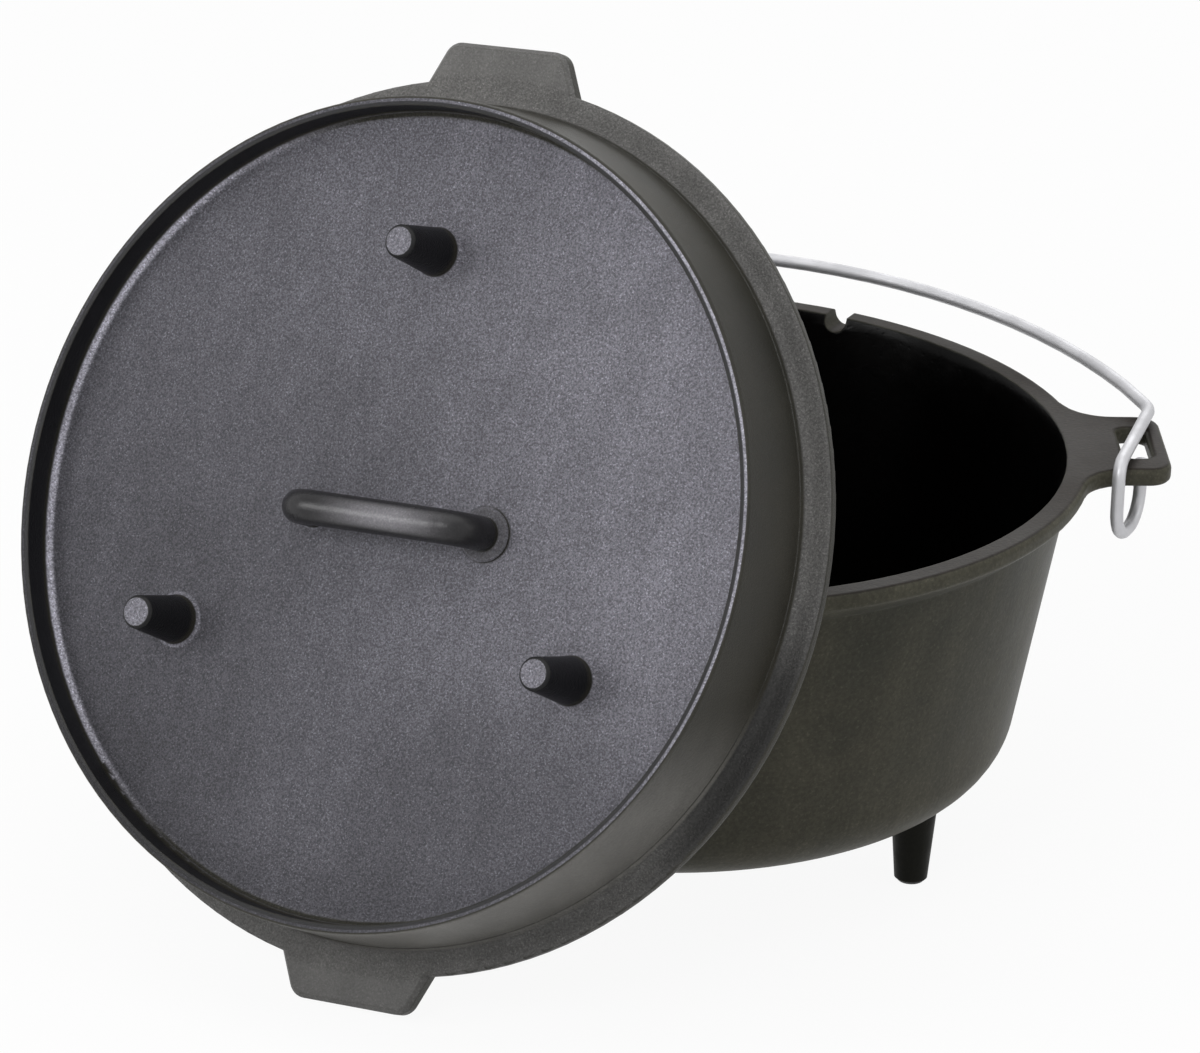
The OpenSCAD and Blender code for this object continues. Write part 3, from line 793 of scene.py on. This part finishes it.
class OVEN_OT_pot(bpy.types.Operator):
    """Make the pot's casting, with soft ears and seasoned iron"""

    bl_idname = "oven.pot"
    bl_label = "Make the pot"

    def execute(self, context):
        look = context.scene.oven_pot
        casting = merged_copy("pot", "pot_casting", CAST_ANGLE)
        self.round_ears(casting, look)
        even_shading(casting)
        give(casting, cast_iron("pot_iron", look, pot_zones))
        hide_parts("pot")
        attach(casting, "pot")
        return {"FINISHED"}

    def round_ears(self, casting, look):
        """Clears the cuts from the ears' level faces and rounds their edges"""

        def level_face(face):
            return abs(face.normal.z) > LEVEL_FACING and all(
                abs(corner.co.x) > EAR_TOP_START and corner.co.z > EAR_UNDERSIDE for corner in face.verts)

        def ear_edge(edge):
            ends = [corner.co for corner in edge.verts]
            level = abs(ends[0].z - ends[1].z) < LEVEL_DISTANCE
            sharp = edge.calc_face_angle(0.0) > math.radians(EAR_EDGE_ANGLE)
            return level and sharp and all(
                end.xy.length > look.ear_start and end.z > EAR_UNDERSIDE for end in ends)

        only(casting)
        bpy.ops.object.mode_set(mode="EDIT")
        select_faces(casting, level_face)
        bpy.ops.mesh.dissolve_limited(angle_limit=math.radians(FLAT_ANGLE), delimit={"NORMAL"})
        select_edges(casting, ear_edge)
        rounded = bpy.ops.mesh.bevel(
            offset=look.ear_round, offset_type="OFFSET", segments=ROUND_STEPS, profile=0.5,
            clamp_overlap=False)
        if "FINISHED" not in rounded:
            raise RuntimeError("The ears' edges were not rounded")
        bpy.ops.object.mode_set(mode="OBJECT")


class OVEN_OT_lid(bpy.types.Operator):
    """Make the lid's casting, with seasoned iron"""

    bl_idname = "oven.lid"
    bl_label = "Make the lid"

    def execute(self, context):
        look = context.scene.oven_lid
        casting = merged_copy("lid", "lid_casting", CAST_ANGLE)
        drop_flaps(casting)
        even_shading(casting)
        give(casting, cast_iron("lid_iron", look, lid_zones))
        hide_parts("lid")
        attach(casting, "lid")
        return {"FINISHED"}


class OVEN_OT_bail(bpy.types.Operator):
    """Make the bail's round wire"""

    bl_idname = "oven.bail"
    bl_label = "Make the bail"

    def execute(self, context):
        wire = merged_copy("bail", "bail_wire", WIRE_ANGLE)
        give(wire, zinc_wire("bail_wire", context.scene.oven_bail))
        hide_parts("bail")
        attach(wire, "bail")
        return {"FINISHED"}


class OVEN_OT_stage(bpy.types.Operator):
    """Lay the floor, hang the lights and set the camera"""

    bl_idname = "oven.stage"
    bl_label = "Set the stage"

    def execute(self, context):
        look = context.scene.oven_stage
        self.floor(look)
        self.world(context.scene)
        self.lights()
        self.camera(context.scene, look)
        context.scene.view_settings.view_transform = "Standard"
        return {"FINISHED"}

    def floor(self, look):
        """A wide floor that looks white and keeps a soft shadow"""
        bpy.ops.object.select_all(action="DESELECT")
        bpy.ops.mesh.primitive_plane_add(size=look.floor_size, location=(0, 0, 0))
        plane = bpy.context.view_layer.objects.active
        plane.name = "floor"
        material = bpy.data.materials.new("floor_pale")
        tree = empty_tree(material)
        output = tree.nodes.new("ShaderNodeOutputMaterial")
        matt = tree.nodes.new("ShaderNodeBsdfDiffuse")
        matt.inputs["Color"].default_value = (*look.floor_colour, 1.0)
        white = tree.nodes.new("ShaderNodeEmission")
        white.inputs["Color"].default_value = WHITE
        mix_backdrop(tree, product(tree, backdrop_rays(tree), FLOOR_WHITE), matt, white, output)
        give(plane, material)

    def world(self, scene):
        """A white room that lights the oven gently"""
        scene.world = bpy.data.worlds.new("studio")
        tree = empty_tree(scene.world)
        output = tree.nodes.new("ShaderNodeOutputWorld")
        ambient = tree.nodes.new("ShaderNodeBackground")
        ambient.inputs["Color"].default_value = WHITE
        ambient.inputs["Strength"].default_value = ROOM_LIGHT
        white = tree.nodes.new("ShaderNodeBackground")
        white.inputs["Color"].default_value = WHITE
        mix_backdrop(tree, backdrop_rays(tree), ambient, white, output)

    def lights(self):
        """Soft square lamps, each turned to its target"""
        for name, place, target, size, power in LAMPS:
            bpy.ops.object.light_add(type="AREA", location=place)
            lamp = bpy.context.view_layer.objects.active
            lamp.name = name
            lamp.data.size = size
            lamp.data.energy = power
            x, y, z = (end - start for start, end in zip(place, target))
            lamp.rotation_euler = (math.atan2(math.hypot(x, y), -z), 0.0, math.atan2(y, x) - math.pi / 2)

    def camera(self, scene, look):
        """A long lens from above and in front"""
        bpy.ops.object.camera_add(location=look.camera_place)
        camera = bpy.context.view_layer.objects.active
        camera.name = "camera"
        camera.rotation_mode = "XYZ"
        camera.rotation_euler = [math.radians(angle) for angle in look.camera_turn]
        camera.data.sensor_fit = "HORIZONTAL"
        camera.data.sensor_width = SENSOR_WIDTH
        camera.data.lens = look.lens
        camera.data.clip_end = VIEW_END
        scene.camera = camera


class OVEN_PT_panel(bpy.types.Panel):
    """Lists the operators and the looks of the oven"""

    bl_label = "Camp oven"
    bl_idname = "OVEN_PT_panel"
    bl_space_type = "VIEW_3D"
    bl_region_type = "UI"
    bl_category = "Camp oven"

    def draw(self, context):
        for operator in OPERATORS:
            self.layout.operator(operator.bl_idname)
        for group, kind in LOOKS:
            for name in kind.__annotations__:
                self.layout.prop(getattr(context.scene, group), name)


OPERATORS = (OVEN_OT_pot, OVEN_OT_lid, OVEN_OT_bail, OVEN_OT_stage)
LOOKS = (
    ("oven_pot", PotLook),
    ("oven_lid", LidLook),
    ("oven_bail", BailLook),
    ("oven_stage", StageLook),
)


def register():
    for name, look in LOOKS:
        bpy.utils.register_class(look)
        setattr(bpy.types.Scene, name, bpy.props.PointerProperty(type=look))
    for operator in OPERATORS:
        bpy.utils.register_class(operator)
    bpy.utils.register_class(OVEN_PT_panel)


def unregister():
    bpy.utils.unregister_class(OVEN_PT_panel)
    for operator in reversed(OPERATORS):
        bpy.utils.unregister_class(operator)
    for name, look in reversed(LOOKS):
        delattr(bpy.types.Scene, name)
        bpy.utils.unregister_class(look)


def main():
    register()
    bpy.ops.oven.pot()
    bpy.ops.oven.lid()
    bpy.ops.oven.bail()
    bpy.ops.oven.stage()


if __name__ == "__main__":
    main()
